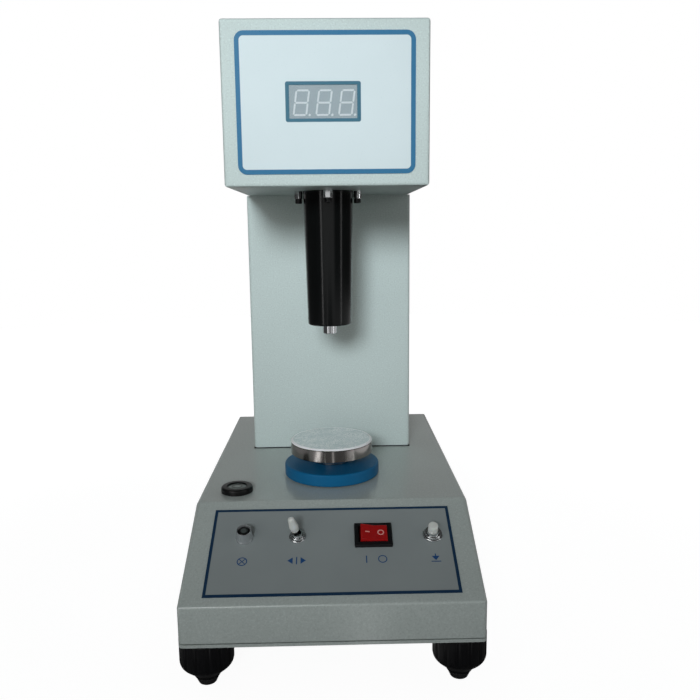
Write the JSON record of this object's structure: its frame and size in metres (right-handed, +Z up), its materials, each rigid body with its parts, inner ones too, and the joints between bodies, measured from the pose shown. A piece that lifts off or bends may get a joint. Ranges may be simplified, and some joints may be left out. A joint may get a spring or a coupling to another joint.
{
  "type": "soil cone penetrometer",
  "caption": "Bench soil cone penetrometer: a held measuring rod in a head with a digital display, over a lifting platform on a levelled base with a sloping switch panel.",
  "frame": {"origin": "on the bench top, under the middle of the instrument's bounding box", "axes": "+Z up along the column and the rod; -Y towards the user and the switch panel; +X to the user's right"},
  "size_m": [0.1704, 0.2746, 0.3623],
  "materials": {
    "paint": "semi-gloss pale grey-green powder coat with fine orange peel",
    "zinc": "bright zinc plate",
    "foot_rubber": "matt black rubber",
    "knob_plastic": "satin black plastic with grip grooves",
    "level_ring": "black ring",
    "level_glass": "clear vial with a bubble",
    "panel_film": "grey film with a navy border line",
    "bright_nickel": "bright nickel",
    "lamp_lens": "dark unlit lens",
    "white_plastic": "white caps",
    "switch_black": "black switch and inlet plastic",
    "switch_red": "translucent red rocker",
    "core_iron": "soft iron",
    "copper": "enamelled winding",
    "board": "green circuit board",
    "brass": "turned brass",
    "guide_alloy": "turned alloy",
    "washer_plastic": "low-friction washer",
    "wheel_blue": "blue plastic",
    "platform_chrome": "polished rim and finely blasted top",
    "rod_chrome": "ground and chromed rod",
    "screw_steel": "plain steel",
    "head_film": "pale film with blue border lines",
    "window": "clear window",
    "display_grey": "grey display face with pale unlit segments",
    "sleeve_black": "polished black sleeve",
    "screw_black": "blackened screws",
    "sensor_plastic": "dark grey housing"
  },
  "bodies": {
    "frame": {"base_plate": "paint", "base_cover": "paint", "column_shell": "paint", "head_shell": "paint", "rear_cover": "paint", "case_screws": "zinc", "foot_nuts": "zinc", "frame_bolts": "zinc", "inlet_pins": "zinc", "hang_spacers": "zinc", "level_body": "level_ring", "level_vial": "level_glass", "panel_film": "panel_film", "panel_nuts": "bright_nickel", "lamp_bezel": "bright_nickel", "toggle_body": "bright_nickel", "button_body": "bright_nickel", "lamp_light": "lamp_lens", "rocker_housing": "switch_black", "power_inlet": "switch_black", "transformer_core": "core_iron", "magnet_pot": "core_iron", "transformer_coil": "copper", "magnet_coil": "copper", "main_board": "board", "display_board": "board", "board_standoffs": "brass", "guide_bushes": "brass", "lift_guide": "guide_alloy", "thrust_washer": "washer_plastic", "head_film": "head_film", "display_window": "window", "display_block": "display_grey", "sleeve": "sleeve_black", "hang_screws": "screw_black", "sensor": "sensor_plastic"},
    "rod": {"measuring_rod": "rod_chrome", "armature": "core_iron", "scale_strip": "screw_steel"},
    "wheel": {"lift_wheel": "wheel_blue", "lift_nut": "brass"},
    "platform": {"platform": "platform_chrome", "lift_screw": "screw_steel"},
    "toggle": {"toggle_lever": "bright_nickel", "toggle_cap": "white_plastic"},
    "rocker": {"rocker": "switch_red"},
    "button": {"button_cap": "white_plastic"},
    "fuse_drawer": {"fuse_drawer": "switch_black"},
    "foot_pad_front_left": {"foot_pad_front_left": "foot_rubber"},
    "foot_knob_front_left": {"foot_knob_front_left": "knob_plastic", "foot_screw_front_left": "zinc"},
    "foot_pad_front_right": {"foot_pad_front_right": "foot_rubber"},
    "foot_knob_front_right": {"foot_knob_front_right": "knob_plastic", "foot_screw_front_right": "zinc"},
    "foot_pad_rear_left": {"foot_pad_rear_left": "foot_rubber"},
    "foot_knob_rear_left": {"foot_knob_rear_left": "knob_plastic", "foot_screw_rear_left": "zinc"},
    "foot_pad_rear_right": {"foot_pad_rear_right": "foot_rubber"},
    "foot_knob_rear_right": {"foot_knob_rear_right": "knob_plastic", "foot_screw_rear_right": "zinc"}
  },
  "joints": [
    {"name": "rod_drop", "type": "slide", "parent": "frame", "child": "rod", "axis": [0, 0, -1], "range_m": [0, 0.022], "stiffness_N_per_m": 10, "springref_m": -0.1},
    {"name": "wheel_turn", "type": "hinge", "parent": "frame", "child": "wheel", "pos_m": [0, -0.02025, 0.0845], "axis": [0, 0, -1], "range_deg": [0, 1440]},
    {"name": "platform_lift", "type": "slide", "parent": "frame", "child": "platform", "axis": [0, 0, 1], "range_m": [0, 0.024]},
    {"name": "toggle_throw", "type": "hinge", "parent": "frame", "child": "toggle", "pos_m": [-0.02, -0.09743, 0.07302], "axis": [0, 0.8984, 0.4391], "range_deg": [0, 25]},
    {"name": "rocker_tilt", "type": "hinge", "parent": "frame", "child": "rocker", "pos_m": [0.0237, -0.09673, 0.07158], "axis": [0, -0.8984, -0.4391], "range_deg": [0, 13]},
    {"name": "button_press", "type": "slide", "parent": "frame", "child": "button", "axis": [0, 0.4391, -0.8984], "range_m": [0, 0.0025], "stiffness_N_per_m": 600, "springref_m": -0.002},
    {"name": "fuse_drawer_pull", "type": "slide", "parent": "frame", "child": "fuse_drawer", "axis": [0, 1, 0], "range_m": [0, 0.014]},
    {"name": "foot_drop_front_left", "type": "slide", "parent": "frame", "child": "foot_pad_front_left", "axis": [0, 0, -1], "range_m": [0, 0.005]},
    {"name": "foot_turn_front_left", "type": "hinge", "parent": "foot_pad_front_left", "child": "foot_knob_front_left", "pos_m": [-0.0702, -0.12225, 0.02], "axis": [0, 0, -1], "range_deg": [0, 1440]},
    {"name": "foot_drop_front_right", "type": "slide", "parent": "frame", "child": "foot_pad_front_right", "axis": [0, 0, -1], "range_m": [0, 0.005]},
    {"name": "foot_turn_front_right", "type": "hinge", "parent": "foot_pad_front_right", "child": "foot_knob_front_right", "pos_m": [0.0702, -0.12225, 0.02], "axis": [0, 0, -1], "range_deg": [0, 1440]},
    {"name": "foot_drop_rear_left", "type": "slide", "parent": "frame", "child": "foot_pad_rear_left", "axis": [0, 0, -1], "range_m": [0, 0.005]},
    {"name": "foot_turn_rear_left", "type": "hinge", "parent": "foot_pad_rear_left", "child": "foot_knob_rear_left", "pos_m": [-0.0702, 0.11975, 0.02], "axis": [0, 0, -1], "range_deg": [0, 1440]},
    {"name": "foot_drop_rear_right", "type": "slide", "parent": "frame", "child": "foot_pad_rear_right", "axis": [0, 0, -1], "range_m": [0, 0.005]},
    {"name": "foot_turn_rear_right", "type": "hinge", "parent": "foot_pad_rear_right", "child": "foot_knob_rear_right", "pos_m": [0.0702, 0.11975, 0.02], "axis": [0, 0, -1], "range_deg": [0, 1440]}
  ],
  "couplings": [
    {"joint": "wheel_turn", "follows": "platform_lift", "rad_per_m": 1047.2},
    {"joint": "foot_turn_front_left", "follows": "foot_drop_front_left", "rad_per_m": 5026.5},
    {"joint": "foot_turn_front_right", "follows": "foot_drop_front_right", "rad_per_m": 5026.5},
    {"joint": "foot_turn_rear_left", "follows": "foot_drop_rear_left", "rad_per_m": 5026.5},
    {"joint": "foot_turn_rear_right", "follows": "foot_drop_rear_right", "rad_per_m": 5026.5}
  ]
}
